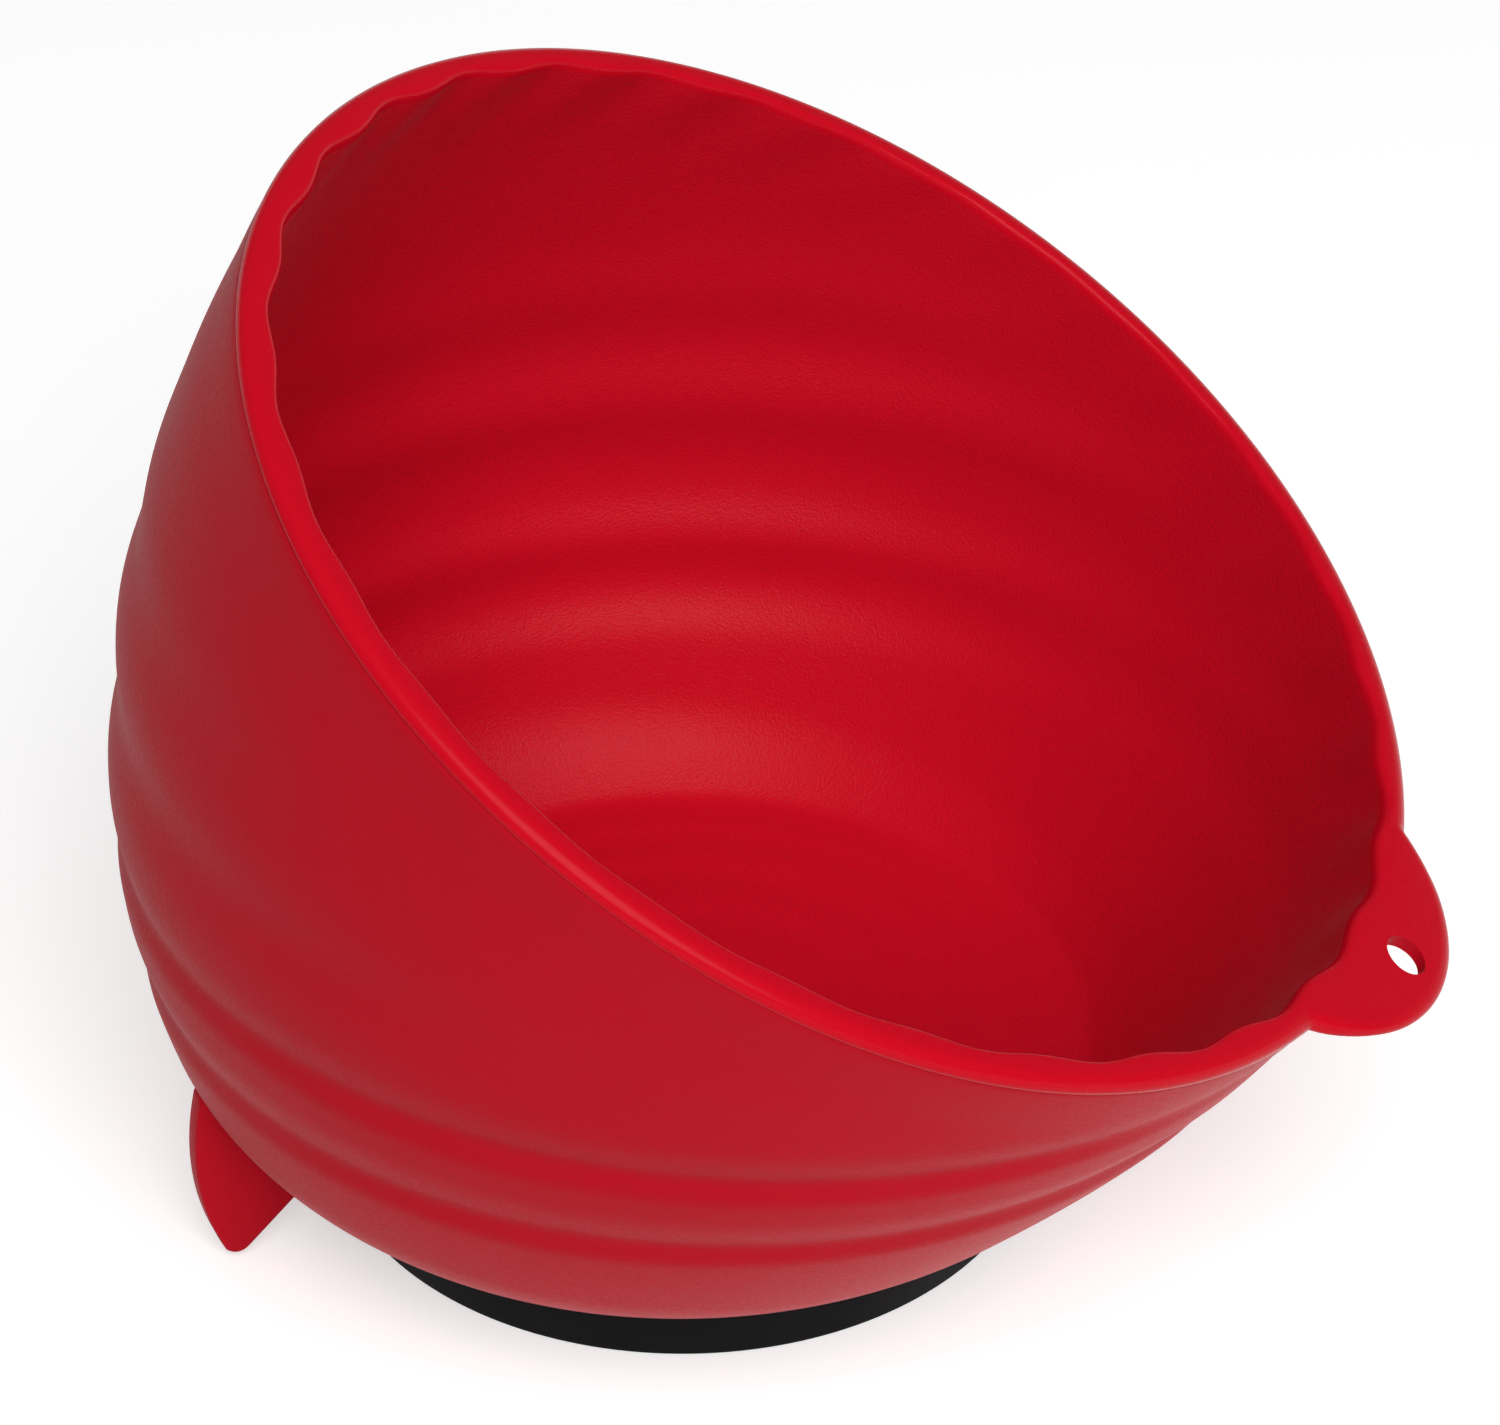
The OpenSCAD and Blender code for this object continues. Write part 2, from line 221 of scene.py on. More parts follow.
# Slip ring and bearing sleeve: a thin acetal ring that the bowl slides on, and the steel tube
# that passes through its floor. They keep the shape of the solids.
def natural_acetal():
    # Natural acetal: milky white, waxy, with faint flow streaks.
    made, tree, place = new_material("natural_acetal")
    streak_mm = 3.0
    streak = add(tree, "ShaderNodeTexNoise", {"Vector": place, "Scale": 1 / (streak_mm * MM), "Detail": 2})
    colour = add(tree, "ShaderNodeMix", {
        "Factor": streak.outputs["Fac"], "A": linear("#dedcd4"), "B": linear("#eceae4")}, data_type="RGBA")
    shader = add(tree, "ShaderNodeBsdfPrincipled", {
        "Base Color": colour.outputs["Result"], "Roughness": 0.38, "IOR": 1.48})
    add(tree, "ShaderNodeOutputMaterial", {"Surface": shader.outputs["BSDF"]})
    return made


coat("slip_ring", natural_acetal())
coat("bearing_sleeve", zinc)


# Bowl: one red moulding with a floor, a lapped wall, a rounded lip around its slanted mouth and a
# hanging tab in the plane of the lip. It is polypropylene, grained by its mould, and turns on
# the sleeve through its floor. Its section changes all around, so one closed grid is laid over it.
RIM_R, RIM_TILT = 74.0, math.radians(31.5)
RIM_X, RIM_Z = 21.3, 90.3
LIP_W, LIP_BAND, LIP_STEP, LIP_CROWN = 3.2, 1.5, 0.45, 0.4
LIP_EDGE, LIP_ROUND_H, LIP_OUTER_W, LIP_INNER_W = 0.15, 1.1, 1.9, 0.8
LIP_FLARE, LIP_FLARE_L = 0.35, 9.0
PARTING_H, PARTING_DEPTH = 0.3, 0.12
BELLY_R, BELLY_POWER, BELLY_BACK = 53.4, 2.7, 2.5
WALL_T = 3.0
HEEL_Z, HEEL_R, RECESS_R, HEEL_S = 9.0, 47.4, 44.9, 0.16
FLOOR_LOW, FLOOR_TOP, FLOOR_R = 11.4, 14.4, 46.5
CORNER_W, CORNER_H, CORNER_LIFT = 2.0, 0.9, 0.05
BORE_R, WASHER_LAND_R = 5.05, 13.0
BORE_EDGE, RECESS_EDGE, RECESS_FLAT, HEEL_EDGE = 0.3, 0.4, 12.0, 0.5
FLUTE_N, FLUTE_DEPTH, FLUTE_L, FLUTE_SLANT, FLUTE_AT_SIDES = 30, 1.0, 14.0, math.radians(-0.4), 0.25
RIPPLE_H, RIPPLE_PITCH, RIPPLE_R, RIPPLE_FADE = 0.25, 9.5, 41.5, 3.0
TAB_R, TAB_OUT, TAB_THINNED, TAB_ROOT = 22.4, 8.8, 0.45, 0.4
HOLE_R, HOLE_OUT = 2.6, 3.6

# Rings in the wall, each with its height, its reach above and below, and the softness of its edge.
# They lean a little, like a fan with its hinge far out beyond the tab.
RING_HINGE_X, RING_HINGE_Z = 670.0, 28.0
SOFT_STEPS = 9
RING_DEPTH, UPPER_GAIN = 0.9, 1.3
UPPER_FROM, UPPER_BLEND = 53.0, 12.0
LOWER_START, LOWER_FADE = 3.0, 16.0
UPPER_START, UPPER_FADE = 14.0, 45.0
GROOVES = [(z, 6.0, 4.5, 0.6) for z in (36.8, 50.6)] + [
    (z, 9.0, 9.0, 2.5) for z in (68.5, 87.0, 103.6, 120.0)]
LEDGE_DEPTH, LEDGE_FADE, LEDGE_TOP, LEDGE_TOP_FADE = 1.5, 24.0, 95.0, 30.0
LEDGE_AT_TAB, LEDGE_LEAST_COS, LEDGE_FULL_COS = 0.2, 0.6, -0.3
LEDGES = [(34.8, 5.5, 17.0, 1.6), (48.3, 6.0, 8.0, 2.0), (67.5, 9.0, 10.0, 3.0), (85.0, 9.0, 9.0, 3.0)]

pivot_x = RIM_X + (RIM_Z - HEEL_Z) / math.tan(RIM_TILT)
rim_reach = math.hypot(pivot_x - RIM_X, RIM_Z - HEEL_Z)
heel_pull = rim_reach + BELLY_BACK - pivot_x
downhill = np.array([math.cos(RIM_TILT), 0, -math.sin(RIM_TILT)])
mouth_up = np.array([math.sin(RIM_TILT), 0, math.cos(RIM_TILT)])
mouth_middle = np.array([RIM_X, 0, RIM_Z])

# Angles of the grid's columns around the mouth: one falls on each notch beside the tab.
tab_middle = RIM_R + TAB_OUT - TAB_R
notch = math.acos((RIM_R ** 2 + tab_middle ** 2 - TAB_R ** 2) / (2 * RIM_R * tab_middle))
TAB_COLUMNS, COLUMNS = 20, 360
half = np.concatenate([
    np.linspace(0, notch, TAB_COLUMNS + 1)[:-1],
    np.linspace(notch, math.pi, COLUMNS // 2 - TAB_COLUMNS + 1)])
around = np.concatenate([half, 2 * math.pi - half[-2:0:-1]])


def ease(t):
    """Runs smoothly from 0 to 1 while t does."""
    t = np.clip(t, 0, 1)
    return t * t * (3 - 2 * t)


def heel_part(s):
    """Share of the pull inwards at the heel, which is gone at HEEL_S."""
    return np.clip(1 - s / HEEL_S, 0, 1) ** 2


def reach(s):
    """Distance from the fan's pivot to the middle of its circle s."""
    return rim_reach + BELLY_BACK * (1 - s) - heel_pull * heel_part(s)


def smooth_r(s):
    """Radius of the outside without rings."""
    flare = (RIM_R - BELLY_R) * np.clip(1 - s, 0, 1) ** BELLY_POWER
    return RIM_R - flare - (BELLY_R - HEEL_R) * heel_part(s)


def fan_point(s, angle, r):
    """Point on the circle s of the fan: s runs from the level heel, 0, to the slanted mouth, 1."""
    tilt, along = s * RIM_TILT, reach(s) - r * np.cos(angle)
    return np.stack([
        pivot_x - along * np.cos(tilt), r * np.sin(angle) + 0 * tilt, HEEL_Z + along * np.sin(tilt)], -1)


def below_rim(s, angle):
    """Distance down the wall from the mouth."""
    return (1 - s) * RIM_TILT * (reach(s) - smooth_r(s) * np.cos(angle))


def ring_height(s, angle):
    """Height at which the leaning level of a point crosses the axis."""
    point = fan_point(s, angle, smooth_r(s))
    return RING_HINGE_Z + (point[..., 2] - RING_HINGE_Z) * RING_HINGE_X / (RING_HINGE_X - point[..., 0])


def grooved(height, rings):
    """Share of the rings' depth at a height: a drawn-in edge above each groove, a shoulder below."""
    cut = 0
    for z, above, below, soft in rings:
        for shift in np.linspace(-soft, soft, SOFT_STEPS):
            off = height - z + shift
            share = np.where(off > 0, np.clip(1 - off / above, 0, 1) ** 2, ease(1 + off / below))
            cut = cut + share / SOFT_STEPS
    return cut


def outer_wave(s, angle):
    """Rings outside. The upper ones are deeper and fade out well below the mouth."""
    height, depth = ring_height(s, angle), below_rim(s, angle)
    upper = ease((height - UPPER_FROM) / UPPER_BLEND)
    low_fade = (1 - upper) * ease((depth - LOWER_START) / LOWER_FADE)
    high_fade = UPPER_GAIN * upper * ease((depth - UPPER_START) / UPPER_FADE)
    return -RING_DEPTH * grooved(height, GROOVES) * (low_fade + high_fade)


def inner_wave(s, angle):
    """Rings inside: softer ledges that fade out at the top of the tall side and towards the tab."""
    height = ring_height(s, angle)
    fade = ease(below_rim(s, angle) / LEDGE_FADE) * ease((LEDGE_TOP - height) / LEDGE_TOP_FADE)
    turned = ease((LEDGE_LEAST_COS - np.cos(angle)) / (LEDGE_LEAST_COS - LEDGE_FULL_COS))
    return -LEDGE_DEPTH * grooved(height, LEDGES) * fade * (LEDGE_AT_TAB + (1 - LEDGE_AT_TAB) * turned)


def wall_width(s, angle):
    """Width of the wall within its circle of the fan, which the wall crosses at a slant."""
    along = fan_point(s, angle, smooth_r(s)) - fan_point(s - 0.01, angle, smooth_r(s - 0.01))
    across = fan_point(s, angle, smooth_r(s)) - fan_point(s, angle, smooth_r(s) - 1)
    sine = np.linalg.norm(np.cross(along, across), axis=-1) / np.linalg.norm(along, axis=-1)
    return WALL_T / sine


def inner_r(s, angle):
    """Radius of the inside, with its ledges and with the flutes under the lip."""
    depth = below_rim(s, angle)
    near_lip = ease(1 - depth / FLUTE_L)
    flute = FLUTE_DEPTH / 2 * np.cos(FLUTE_N * (angle + FLUTE_SLANT * depth)) * near_lip
    flute = flute * (FLUTE_AT_SIDES + (1 - FLUTE_AT_SIDES) * np.cos(angle) ** 2)
    lip = (LIP_W - WALL_T) * near_lip
    return smooth_r(s) + inner_wave(s, angle) - wall_width(s, angle) - lip - flute


def s_at_depth(depth, r):
    """Circle of the fan, for each column, at a distance down from the mouth."""
    return 1 - depth / (RIM_TILT * (rim_reach - r * np.cos(around)))


def s_at_height(z):
    """Circle of the fan, for each column, where the inside has a height."""
    s = np.full_like(around, 0.07)
    for _ in range(6):
        s = np.arcsin((z - HEEL_Z) / (reach(s) - inner_r(s, around) * np.cos(around))) / RIM_TILT
    return s


def level_ring(r, z):
    """A row of the grid around the axis."""
    return np.stack([r * np.cos(around), r * np.sin(around), np.full_like(around, z)], -1)


def mouth_ring(r, depth):
    """A row of the grid around the mouth, at a depth below its plane."""
    spoke = np.cos(around)[:, None] * downhill + np.sin(around)[:, None] * np.array([0, 1, 0])
    drop = np.asarray(depth).reshape(-1, 1) * mouth_up
    return mouth_middle + np.asarray(r).reshape(-1, 1) * spoke - drop


rows, finishes = [], []
OUTSIDE, LIP, INSIDE = 0, 1, 2


def lay(ring, finish):
    """Adds a row to the grid, with the finish of the strip that follows it."""
    rows.append(ring)
    finishes.append(finish)


for r, z in [
        (BORE_R, FLOOR_LOW + BORE_EDGE), (BORE_R + BORE_EDGE, FLOOR_LOW),
        (RECESS_R - RECESS_FLAT, FLOOR_LOW), (RECESS_R - RECESS_EDGE, FLOOR_LOW),
        (RECESS_R, FLOOR_LOW - RECESS_EDGE), (RECESS_R, HEEL_Z + RECESS_EDGE),
        (RECESS_R + RECESS_EDGE, HEEL_Z), (HEEL_R - HEEL_EDGE, HEEL_Z)]:
    lay(level_ring(r, z), OUTSIDE)

OUTER_ROWS, OUTER_FIRST, OUTER_CROWDING = 120, 0.003, 1.12
top = s_at_depth(LIP_BAND + PARTING_H, RIM_R)
for i in range(OUTER_ROWS + 1):
    s = top * (OUTER_FIRST + (1 - OUTER_FIRST) * (i / OUTER_ROWS) ** OUTER_CROWDING)
    flare = LIP_FLARE * ease(1 - (below_rim(s, around) - LIP_BAND) / LIP_FLARE_L)
    lay(fan_point(s, around, smooth_r(s) + outer_wave(s, around) + flare), OUTSIDE)

# The lip: a fine parting line, a narrow band, and a crown that is rounded on both sides. Within
# the notches its edge is the tab's, and the tab gets thinner away from them.
from_axis = np.minimum(around, 2 * math.pi - around)
tab_edge = tab_middle * np.cos(from_axis) + np.sqrt(
    np.clip(TAB_R ** 2 - (tab_middle * np.sin(from_axis)) ** 2, 0, None))
edge_r = np.where(from_axis <= notch + 1e-9, tab_edge, RIM_R) + LIP_STEP
thinner = 1 - TAB_THINNED * ease((notch - from_axis) / (TAB_ROOT * notch))
lay(mouth_ring(np.full_like(around, RIM_R + LIP_FLARE - PARTING_DEPTH), LIP_BAND), OUTSIDE)
outer_round = [
    (LIP_OUTER_W * (1 - math.cos(turn)), LIP_ROUND_H * (1 - math.sin(turn)))
    for turn in np.linspace(0, math.pi / 2, 6)]
for inset, depth in [(LIP_EDGE, LIP_BAND), (0, LIP_BAND - LIP_EDGE)] + outer_round:
    lay(mouth_ring(edge_r - inset, depth * thinner - LIP_CROWN * (1 - depth / LIP_BAND)), LIP)
flute_r = inner_r(np.ones_like(around), around)
lay(mouth_ring((edge_r - LIP_OUTER_W + flute_r + LIP_INNER_W) / 2, -LIP_CROWN), LIP)
for turn in np.linspace(0, math.pi / 2, 5)[:-1]:
    inset, depth = LIP_INNER_W * (1 - math.sin(turn)), LIP_ROUND_H * (1 - math.cos(turn))
    lay(mouth_ring(flute_r + inset, depth - LIP_CROWN), LIP)

INNER_ROWS, INNER_TOP, INNER_CROWDING = 78, 0.95, 1.1
top, low = s_at_depth(INNER_TOP, RIM_R - LIP_W), s_at_height(FLOOR_TOP + CORNER_H)
for i in range(INNER_ROWS + 1):
    s = low + (top - low) * (1 - i / INNER_ROWS) ** INNER_CROWDING
    lay(fan_point(s, around, inner_r(s, around)), INSIDE)
corner = np.linalg.norm(rows[-1][:, :2], axis=1)
for inset, lift in [(CORNER_H, CORNER_H / 3), (CORNER_W, CORNER_LIFT)]:
    lay(level_ring(corner - inset, FLOOR_TOP + lift), INSIDE)

FLOOR_ROWS = 30
for i in range(FLOOR_ROWS + 1):
    r = FLOOR_R + (WASHER_LAND_R - FLOOR_R) * i / FLOOR_ROWS
    swell = RIPPLE_H / 2 * (1 - math.cos(2 * math.pi * (r - RIPPLE_R) / RIPPLE_PITCH))
    swell *= float(ease((FLOOR_R - r) / RIPPLE_FADE) * ease((r - WASHER_LAND_R) / RIPPLE_FADE))
    lay(level_ring(r, FLOOR_TOP + swell), INSIDE)
for r, z in [(BORE_R + BORE_EDGE, FLOOR_TOP), (BORE_R, FLOOR_TOP - BORE_EDGE)]:
    lay(level_ring(r, z), INSIDE)

bpy.ops.mesh.primitive_grid_add(x_subdivisions=COLUMNS, y_subdivisions=len(rows), size=1)
bowl = start("bowl_moulding")
bpy.ops.object.mode_set(mode="OBJECT")
mesh = bowl.data
corners = np.empty(len(mesh.vertices) * 3)
mesh.vertices.foreach_get("co", corners)
column = np.rint((corners[0::3] + 0.5) * COLUMNS).astype(int) % COLUMNS
row = np.rint((corners[1::3] + 0.5) * len(rows)).astype(int)
middles = np.empty(len(mesh.polygons) * 3)
mesh.polygons.foreach_get("center", middles)
strip = np.floor((middles[1::3] + 0.5) * len(rows)).astype(int)
mesh.polygons.foreach_set("material_index", np.array(finishes)[strip])
mesh.vertices.foreach_set("co", (np.array(rows)[row % len(rows), column] * MM).ravel())
bpy.ops.object.mode_set(mode="EDIT")
bpy.ops.mesh.select_all(action="SELECT")
bpy.ops.mesh.remove_doubles(threshold=0.0005 * MM)
bpy.ops.mesh.normals_make_consistent(inside=False)
bpy.ops.object.mode_set(mode="OBJECT")

hole_middle = (mouth_middle + (RIM_R + HOLE_OUT) * downhill - LIP_BAND / 2 * mouth_up) * MM
bpy.ops.mesh.primitive_cylinder_add(
    vertices=64, radius=HOLE_R * MM, depth=4 * LIP_BAND * MM, location=hole_middle,
    rotation=(0, RIM_TILT, 0))
drill = bpy.context.object
apply_modifier(bowl, "BOOLEAN", operation="DIFFERENCE", object=drill, solver="EXACT")
bpy.data.objects.remove(drill)
settle(bowl, 40)


# Moulded polypropylene: deep red right through. The outside has the fine grain of a spark-eroded
# mould, which scatters a pale sheen at low angles; the lip is polished, the inside between the two.
def moulded_red(name, deep, bright, rough, grain_mm, relief_mm, strength, shine, sheen):
    made, tree, place = new_material(name)
    cloud_mm = 22.0
    cloud = add(tree, "ShaderNodeTexNoise", {"Vector": place, "Scale": 1 / (cloud_mm * MM), "Detail": 3})
    grain = add(tree, "ShaderNodeTexNoise", {
        "Vector": place, "Scale": 1 / (grain_mm * MM), "Detail": 2, "Roughness": 0.6})
    mixed = add(tree, "ShaderNodeMath", {
        0: cloud.outputs["Fac"], 1: grain.outputs["Fac"], 2: 0.12}, operation="MULTIPLY_ADD")
    colour = add(tree, "ShaderNodeMix", {
        "Factor": mixed.outputs["Value"], "A": linear(deep), "B": linear(bright)}, data_type="RGBA")
    dull = add(tree, "ShaderNodeMapRange", {
        "Value": grain.outputs["Fac"], "From Min": 0.3, "From Max": 0.7,
        "To Min": rough[0], "To Max": rough[1]})
    bump = add(tree, "ShaderNodeBump", {
        "Height": grain.outputs["Fac"], "Strength": strength, "Distance": relief_mm * MM})
    shader = add(tree, "ShaderNodeBsdfPrincipled", {
        "Base Color": colour.outputs["Result"], "Roughness": dull.outputs["Result"],
        "Normal": bump.outputs["Normal"], "IOR": 1.49, "Specular IOR Level": shine,
        "Sheen Weight": sheen, "Sheen Roughness": 0.3})
    add(tree, "ShaderNodeOutputMaterial", {"Surface": shader.outputs["BSDF"]})
    return made


# The three finishes also differ in base colour. The darker red outside and on the fins is painted shade,
# and the brighter red of the lip and the inside is painted light.
grained_red_painted_shade = moulded_red(
    "grained_red_polypropylene_painted_shade", "#b80b1f", "#c20c22", rough=(0.44, 0.57), grain_mm=0.5, relief_mm=0.05,
    strength=0.6, shine=0.07, sheen=0.04)
lip_red_painted_light = moulded_red(
    "polished_red_polypropylene_painted_light", "#ca0a20", "#d20c23", rough=(0.2, 0.28), grain_mm=0.7, relief_mm=0.02,
    strength=0.25, shine=0.06, sheen=0.0)
inner_red_painted_light = moulded_red(
    "smooth_red_polypropylene_painted_light", "#c60e24", "#d00f27", rough=(0.3, 0.42), grain_mm=0.32, relief_mm=0.12,
    strength=1.0, shine=0.12, sheen=0.03)
for finish in (grained_red_painted_shade, lip_red_painted_light, inner_red_painted_light):
    bowl.data.materials.append(finish)
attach(bowl, "bowl")
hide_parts("bowl_wall", "bowl_floor", "hanging_tab")


# Rear fins: two thin plates of the same moulding under the tall side, which steady the bowl
# where it leans out. Each grows out of the belly, and its inner edge rises at an angle to the heel.
FIN_TURN, FIN_T, FIN_SINK, FIN_EDGE = math.radians(49), 3.0, 1.2, 0.5
FIN_TIP_R, FIN_LIFT, FIN_SWELL, FIN_TIP_ROUND = 59.6, 0.8, 6.3, 1.6
FIN_FROM_S, FIN_SUNK_S, FIN_TOP_S = 0.012, 0.148, 0.15


def belly_point(angle, s, sink):
    """Distance from the axis and height of the belly's outside in the upright plane at an angle."""
    tilt = s * RIM_TILT
    middle = pivot_x - reach(s) * np.cos(tilt)
    r = smooth_r(s) + outer_wave(s, angle) - sink
    stretch = 1 / np.cos(tilt) ** 2
    square = np.cos(angle) ** 2 * stretch + np.sin(angle) ** 2
    single = -2 * middle * np.cos(angle) * stretch
    rest = middle ** 2 * stretch - r * r
    out = (-single + np.sqrt(single * single - 4 * square * rest)) / (2 * square)
    return out, HEEL_Z + reach(s) * np.sin(tilt) - (out * np.cos(angle) - middle) * np.tan(tilt)


def curve(begin, pull, end, steps):
    """Points of a curve that bends towards one pull, without its end."""
    t = np.linspace(0, 1, steps + 1)[:-1, None]
    return (1 - t) ** 2 * np.array(begin) + 2 * t * (1 - t) * np.array(pull) + t ** 2 * np.array(end)


fin_angle = np.array(math.pi - FIN_TURN)
sunk = np.stack(belly_point(fin_angle, np.linspace(FIN_FROM_S, FIN_SUNK_S, 14), FIN_SINK), -1)
high = np.array(belly_point(fin_angle, FIN_TOP_S, 0))
tip_in = (FIN_TIP_R - FIN_TIP_ROUND, FIN_LIFT + FIN_TIP_ROUND / 2)
tip_out = (FIN_TIP_R + FIN_TIP_ROUND, FIN_LIFT + FIN_TIP_ROUND / 2)
tip_low = (FIN_TIP_R, FIN_LIFT - FIN_TIP_ROUND / 2)
swollen = (FIN_TIP_R + FIN_SWELL, high[1] / 2)
outline = np.concatenate([sunk, curve(high, swollen, tip_out, 20), curve(tip_out, tip_low, tip_in, 10)])

fins = []
for side in (1, -1):
    bpy.ops.mesh.primitive_circle_add(vertices=len(outline), radius=MM, fill_type="NGON")
    fin = start("rear_fin")
    bpy.ops.object.mode_set(mode="OBJECT")
    turn = side * fin_angle
    edge = np.stack([
        outline[:, 0] * np.cos(turn) + FIN_T / 2 * np.sin(turn),
        outline[:, 0] * np.sin(turn) - FIN_T / 2 * np.cos(turn), outline[:, 1]], -1)
    fin.data.vertices.foreach_set("co", (edge * MM).ravel())
    bpy.ops.object.mode_set(mode="EDIT")
    bpy.ops.mesh.select_all(action="SELECT")
    thickness = (-FIN_T * math.sin(turn) * MM, FIN_T * math.cos(turn) * MM, 0)
    bpy.ops.mesh.extrude_region_move(TRANSFORM_OT_translate={"value": thickness})
    bpy.ops.mesh.select_all(action="SELECT")
    bpy.ops.mesh.normals_make_consistent(inside=False)
    bpy.ops.object.mode_set(mode="OBJECT")
    round_edges(fin, FIN_EDGE, 3)
    settle(fin)
    fins.append(fin)
bpy.ops.object.select_all(action="DESELECT")
for fin in fins:
    fin.select_set(True)
bpy.context.view_layer.objects.active = fins[0]
bpy.ops.object.join()
fin_pair = fins[0]
fin_pair.name = fin_pair.data.name = "rear_fins_moulded"
fin_pair.select_set(False)
fin_pair.data.materials.append(grained_red_painted_shade)
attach(fin_pair, "bowl")
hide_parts("rear_fins")


# Flat washer, split washer and screw: zinc plated, on the floor inside the bowl. The screw runs
# through the sleeve into the nut and clamps both washers on the sleeve's end, not on the bowl.
SLEEVE_TOP, WASHER_T, WASHER_R, WASHER_EDGE = 14.7, 1.2, 12.0, 0.2
SPLIT_T, SPLIT_W, SPLIT_GAP, SPLIT_EDGE = 1.3, 2.2, math.radians(12), 0.15
SCREW_R, SCREW_L, SCREW_HOLE_R, SCREW_EDGE = 3.0, 12.0, 3.1, 0.35
HEAD_R, HEAD_H, HEAD_TAPER, SOCKET_AF, SOCKET_DEEP = 6.0, 2.8, 0.8, 4.0, 1.8

bpy.ops.mesh.primitive_circle_add(
    vertices=96, radius=WASHER_R * MM, fill_type="NGON", location=(0, 0, SLEEVE_TOP * MM))
washer = start("flat_washer_stamped")
bpy.ops.mesh.select_all(action="SELECT")
bpy.ops.mesh.inset(thickness=(WASHER_R - SCREW_HOLE_R) * MM)
bpy.ops.mesh.delete(type="FACE")
bpy.ops.mesh.select_all(action="SELECT")
bpy.ops.mesh.extrude_region_move(TRANSFORM_OT_translate={"value": (0, 0, WASHER_T * MM)})
bpy.ops.mesh.select_all(action="SELECT")
bpy.ops.mesh.normals_make_consistent(inside=False)
bpy.ops.object.mode_set(mode="OBJECT")
round_edges(washer, WASHER_EDGE, 3)
settle(washer)

split_low = SLEEVE_TOP + WASHER_T
bpy.ops.mesh.primitive_plane_add(size=MM)
split = start("split_washer_coiled")
bpy.ops.mesh.select_all(action="SELECT")
bpy.ops.transform.rotate(value=math.pi / 2, orient_axis="X", center_override=(0, 0, 0))
bpy.ops.transform.resize(value=(SPLIT_W, 1, SPLIT_T), center_override=(0, 0, 0))
bpy.ops.transform.translate(value=((SCREW_HOLE_R + SPLIT_W / 2) * MM, 0, (split_low + SPLIT_T / 2) * MM))
bpy.ops.mesh.spin(
    steps=72, angle=2 * math.pi - SPLIT_GAP, center=(0, 0, 0), axis=(0, 0, 1), use_auto_merge=False)
bpy.ops.mesh.select_all(action="SELECT")
bpy.ops.mesh.remove_doubles(threshold=0.001 * MM)
bpy.ops.mesh.normals_make_consistent(inside=False)
bpy.ops.object.mode_set(mode="OBJECT")
round_edges(split, SPLIT_EDGE, 2)
settle(split)

head_low = split_low + SPLIT_T
bpy.ops.mesh.primitive_cylinder_add(
    vertices=96, radius=HEAD_R * MM, depth=HEAD_H * MM, location=(0, 0, (head_low + HEAD_H / 2) * MM))
screw = start("foot_screw_turned")
pick_end(screw, 1)
taper = 1 - HEAD_TAPER / HEAD_R
bpy.ops.transform.resize(value=(taper, taper, 1))
pick_end(screw, -1)
bpy.ops.mesh.inset(thickness=(HEAD_R - SCREW_R) * MM)
bpy.ops.mesh.extrude_region_move(TRANSFORM_OT_translate={"value": (0, 0, -SCREW_L * MM)})
bpy.ops.object.mode_set(mode="OBJECT")
round_edges(screw, SCREW_EDGE, 3, sharp=50)
bpy.ops.mesh.primitive_cylinder_add(
    vertices=6, radius=SOCKET_AF / 2 / math.cos(math.pi / 6) * MM, depth=2 * SOCKET_DEEP * MM,
    location=(0, 0, (head_low + HEAD_H) * MM))
key = bpy.context.object
apply_modifier(screw, "BOOLEAN", operation="DIFFERENCE", object=key, solver="EXACT")
bpy.data.objects.remove(key)
settle(screw)

for piece, node_name in ((washer, "flat_washer"), (split, "split_washer"), (screw, "foot_screw")):
    piece.data.materials.clear()
    piece.data.materials.append(zinc)
    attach(piece, "foot")
    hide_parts(node_name)


# Studio: a plain white table top under one large soft box, in a dim room with a white backdrop
# behind, so that the red stays deep where it faces up and turns pale where it faces the table.
# The table also glows in reflections only, more on the tab's side: a painted reflection that puts a pale
# sheen on the bowl's underside there.
TABLE_SIZE, TABLE_DROP = 6.0, 0.0002
bpy.ops.mesh.primitive_plane_add(size=TABLE_SIZE, location=(0, 0, -TABLE_DROP))
table = bpy.context.object
table.name = table.data.name = "table_top"
paper, tree, place = new_material("white_table")
rays = add(tree, "ShaderNodeLightPath")
tabward = add(tree, "ShaderNodeSeparateXYZ", {"Vector": place}).outputs["X"]
# Painted reflection: an emission that only glossy rays see, from 0.2 away from the tab up to 1 on its side.
painted_reflection_by_side = add(tree, "ShaderNodeMapRange", {
    "Value": tabward, "From Min": -0.15, "From Max": 0.15, "To Min": 0.2, "To Max": 1.0},
    interpolation_type="SMOOTHSTEP")
painted_reflection = add(tree, "ShaderNodeMath", {
    0: rays.outputs["Is Glossy Ray"], 1: painted_reflection_by_side.outputs["Result"]}, operation="MULTIPLY")
lift = add(tree, "ShaderNodeMath", {
    0: rays.outputs["Is Camera Ray"], 1: 0.5, 2: painted_reflection.outputs["Value"]}, operation="MULTIPLY_ADD")
matte = add(tree, "ShaderNodeBsdfPrincipled", {
    "Base Color": linear("#e6e6e6"), "Roughness": 1.0, "Specular IOR Level": 0.0,
    "Emission Color": (1, 1, 1, 1), "Emission Strength": lift.outputs["Value"]})
add(tree, "ShaderNodeOutputMaterial", {"Surface": matte.outputs["BSDF"]})
table.data.materials.append(paper)

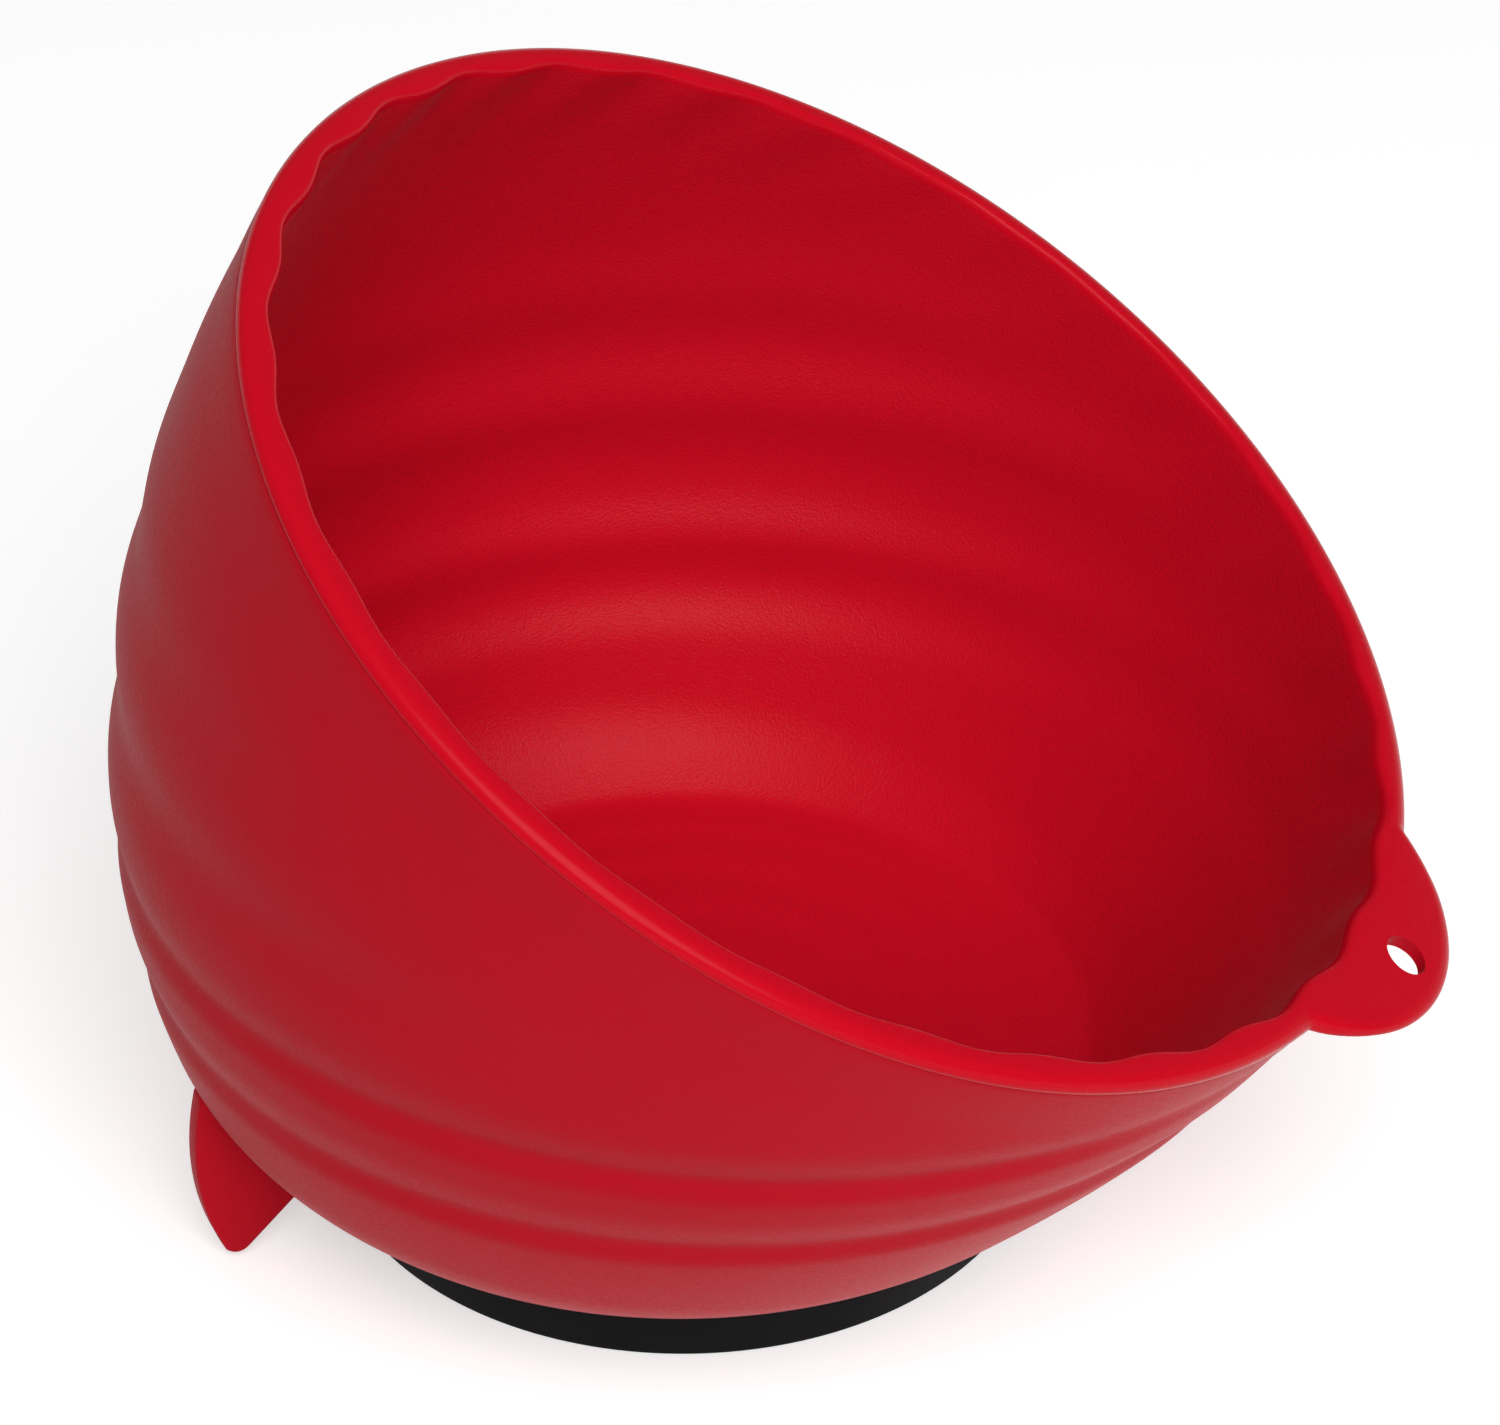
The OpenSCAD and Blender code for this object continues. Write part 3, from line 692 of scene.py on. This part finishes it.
world = bpy.data.worlds.new("studio")
bpy.context.scene.world = world
world.use_nodes = True
tree = world.node_tree
tree.nodes.clear()
direction = add(tree, "ShaderNodeTexCoord").outputs["Generated"]
height = add(tree, "ShaderNodeSeparateXYZ", {"Vector": direction}).outputs["Z"]
behind = add(tree, "ShaderNodeVectorMath", {0: direction, 1: (-0.38, 0.92, 0)}, operation="DOT_PRODUCT")
sweep = add(tree, "ShaderNodeMapRange", {
    "Value": behind.outputs["Value"], "From Min": 0.0, "From Max": 0.7}, interpolation_type="SMOOTHSTEP")
low = add(tree, "ShaderNodeMapRange", {
    "Value": height, "From Min": 0.08, "From Max": 0.35, "To Min": 1.1, "To Max": 0.0},
    interpolation_type="SMOOTHSTEP")
room = add(tree, "ShaderNodeMapRange", {
    "Value": height, "From Min": 0.1, "From Max": 0.6, "To Min": 0.08, "To Max": 0.17},
    interpolation_type="SMOOTHSTEP")
glow = add(tree, "ShaderNodeMath", {
    0: sweep.outputs["Result"], 1: low.outputs["Result"], 2: room.outputs["Result"]},
    operation="MULTIPLY_ADD")
straight = add(tree, "ShaderNodeLightPath").outputs["Is Camera Ray"]
white = add(tree, "ShaderNodeMath", {0: glow.outputs["Value"], 1: straight}, operation="MAXIMUM")
sky = add(tree, "ShaderNodeBackground", {"Color": (1, 1, 1, 1), "Strength": white.outputs["Value"]})
add(tree, "ShaderNodeOutputWorld", {"Surface": sky.outputs["Background"]})


LAMP_PLACE, LAMP_AIM, LAMP_SIZE, LAMP_WATTS = Vector((0.91, -1.26, 1.56)), Vector((0, 0, 0.05)), 1.6, 45
lamp = bpy.data.lights.new("soft_box", "AREA")
lamp.shape, lamp.size, lamp.energy = "SQUARE", LAMP_SIZE, LAMP_WATTS
soft_box = bpy.data.objects.new("soft_box", lamp)
bpy.context.collection.objects.link(soft_box)
soft_box.location = LAMP_PLACE
soft_box.rotation_euler = (LAMP_AIM - LAMP_PLACE).to_track_quat("-Z", "Y").to_euler()


# Camera: set back with a long lens, above the near side and a little round towards the tab.
# Its place and lens were fitted to the photograph's outline, with the focal length in its pixels.
AZIMUTH, ELEVATION, ROLL = math.radians(22.387), math.radians(32.423), math.radians(0.49)
CAMERA_DISTANCE, CAMERA_AIM = 0.44024, Vector((0.008383, -0.000037, 0.06221))
FOCAL_PX, PHOTO_W_PX, SENSOR_W = 3782.14, 1500, 36
camera_data = bpy.data.cameras.new("camera")
camera_data.sensor_width, camera_data.lens = SENSOR_W, SENSOR_W * FOCAL_PX / PHOTO_W_PX
camera = bpy.data.objects.new("camera", camera_data)
bpy.context.collection.objects.link(camera)
back = Vector((
    math.sin(AZIMUTH) * math.cos(ELEVATION), -math.cos(AZIMUTH) * math.cos(ELEVATION),
    math.sin(ELEVATION)))
camera.location = CAMERA_AIM + CAMERA_DISTANCE * back
turned = (-back).to_track_quat("-Z", "Y").to_matrix()
camera.rotation_euler = (turned @ Matrix.Rotation(ROLL, 3, "Z")).to_euler()
bpy.context.scene.camera = camera
bpy.context.scene.view_settings.view_transform = "Standard"
